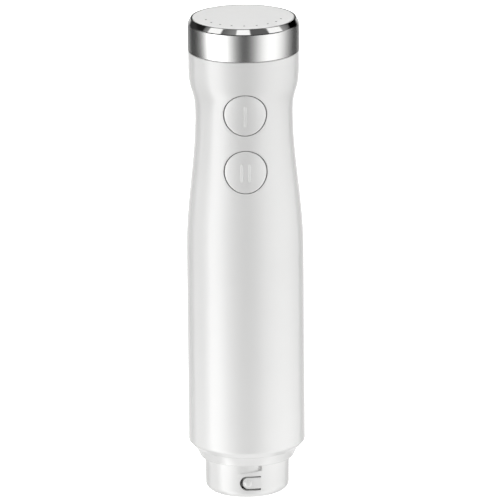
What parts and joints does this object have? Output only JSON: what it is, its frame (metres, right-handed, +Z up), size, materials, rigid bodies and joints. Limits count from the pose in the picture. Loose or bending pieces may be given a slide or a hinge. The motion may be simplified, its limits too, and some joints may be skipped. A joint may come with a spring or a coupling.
{
  "type": "immersion blender",
  "caption": "Cordless immersion blender motor handle: waisted gloss white body, push buttons, steel speed ring round the top, and a bayonet spigot for a detachable shaft.",
  "frame": {"origin": "centre of the flat lower rim of the coupling spigot, on which the handle stands", "axes": "+Z up along the handle and the motor shaft, -Y towards the buttons, +X to the right seen from the buttons"},
  "size_m": [0.06, 0.06, 0.2494],
  "materials": {
    "gloss_white": "injection-moulded ABS, polished gloss",
    "satin_white": "injection-moulded ABS, fine satin",
    "button_white": "injection-moulded ABS, gloss, with raised bars",
    "brushed_steel": "stainless steel turned and brushed round, with a polished bevel",
    "smoked_plastic": "smoked clear plastic light guide",
    "grey_plastic_dark": "moulded, fine matt",
    "dark_plastic": "glass-filled nylon, as moulded",
    "grey_plastic": "as moulded",
    "seal_rubber": "silicone rubber",
    "cast_aluminium": "die-cast, as cast",
    "plated_steel": "zinc-plated steel",
    "lamination_steel": "stacked electrical steel",
    "sintered_bronze": "oil-filled sintered bronze",
    "ferrite": "sintered ferrite and carbon, matt",
    "enamelled_copper": "enamelled copper",
    "lead_insulation_red": "silicone-insulated stranded wire",
    "lead_insulation_black": "silicone-insulated stranded wire",
    "cell_wrap": null,
    "circuit_board": "glass-epoxy board with solder mask"
  },
  "bodies": {
    "handle": {"housing_sleeve": "gloss_white", "bayonet_collar": "gloss_white", "top_cap": "satin_white", "light_guide": "smoked_plastic", "charge_bezel": "grey_plastic_dark", "charge_socket": "plated_steel", "collar_seal": "seal_rubber", "shaft_seal": "seal_rubber", "top_seal": "seal_rubber", "motor_damper": "seal_rubber", "motor_mount": "cast_aluminium", "heat_sink": "cast_aluminium", "motor_can": "plated_steel", "mount_screw_1": "plated_steel", "mount_screw_2": "plated_steel", "mount_screw_3": "plated_steel", "cell_strap_lower": "plated_steel", "cell_strap_upper": "plated_steel", "bearing_lower": "sintered_bronze", "bearing_upper": "sintered_bronze", "magnet_1": "ferrite", "magnet_2": "ferrite", "brush_1": "ferrite", "brush_2": "ferrite", "motor_lead_1": "lead_insulation_red", "motor_lead_2": "lead_insulation_black", "motor_end_cap": "dark_plastic", "brush_holder": "dark_plastic", "glide_ring": "dark_plastic", "switch_body_1": "dark_plastic", "switch_body_2": "dark_plastic", "transistor": "dark_plastic", "cradle_right": "grey_plastic", "cradle_left": "grey_plastic", "battery_tray_lower": "grey_plastic", "battery_tray_upper": "grey_plastic", "board_carrier": "grey_plastic", "button_frame": "grey_plastic", "top_frame": "grey_plastic", "battery_cell_1": "cell_wrap", "battery_cell_2": "cell_wrap", "battery_cell_3": "cell_wrap", "power_board": "circuit_board", "main_board": "circuit_board", "charge_board": "circuit_board", "led_board": "circuit_board"},
    "speed_dial": {"speed_ring": "brushed_steel", "ring_carrier": "grey_plastic", "dial_magnet": "ferrite"},
    "upper_button": {"button_1": "button_white", "switch_plunger_1": "dark_plastic"},
    "lower_button": {"button_2": "button_white", "switch_plunger_2": "dark_plastic"},
    "rotor": {"rotor_shaft": "plated_steel", "rotor_core": "lamination_steel", "winding_lower": "enamelled_copper", "winding_upper": "enamelled_copper", "commutator": "enamelled_copper", "drive_coupling": "dark_plastic"},
    "latch": {"latch_tongue": "gloss_white"}
  },
  "joints": [
    {"name": "speed_dial_turn", "type": "hinge", "parent": "handle", "child": "speed_dial", "pos_m": [0, 0, 0.24], "axis": [0, 0, 1], "range_deg": [0, 160]},
    {"name": "upper_button_press", "type": "slide", "parent": "handle", "child": "upper_button", "axis": [0, 1, 0], "range_m": [0, 0.0012], "stiffness_N_per_m": 1200},
    {"name": "lower_button_press", "type": "slide", "parent": "handle", "child": "lower_button", "axis": [0, 1, 0], "range_m": [0, 0.0012], "stiffness_N_per_m": 1200},
    {"name": "rotor_spin", "type": "hinge", "parent": "handle", "child": "rotor", "pos_m": [0, 0, 0.05], "axis": [0, 0, 1], "continuous": true},
    {"name": "latch_flex", "type": "hinge", "parent": "handle", "child": "latch", "pos_m": [0.00675, -0.01925, 0.00825], "axis": [0, 0, -1], "range_deg": [0, 5], "stiffness_Nm_per_rad": 1.1}
  ]
}
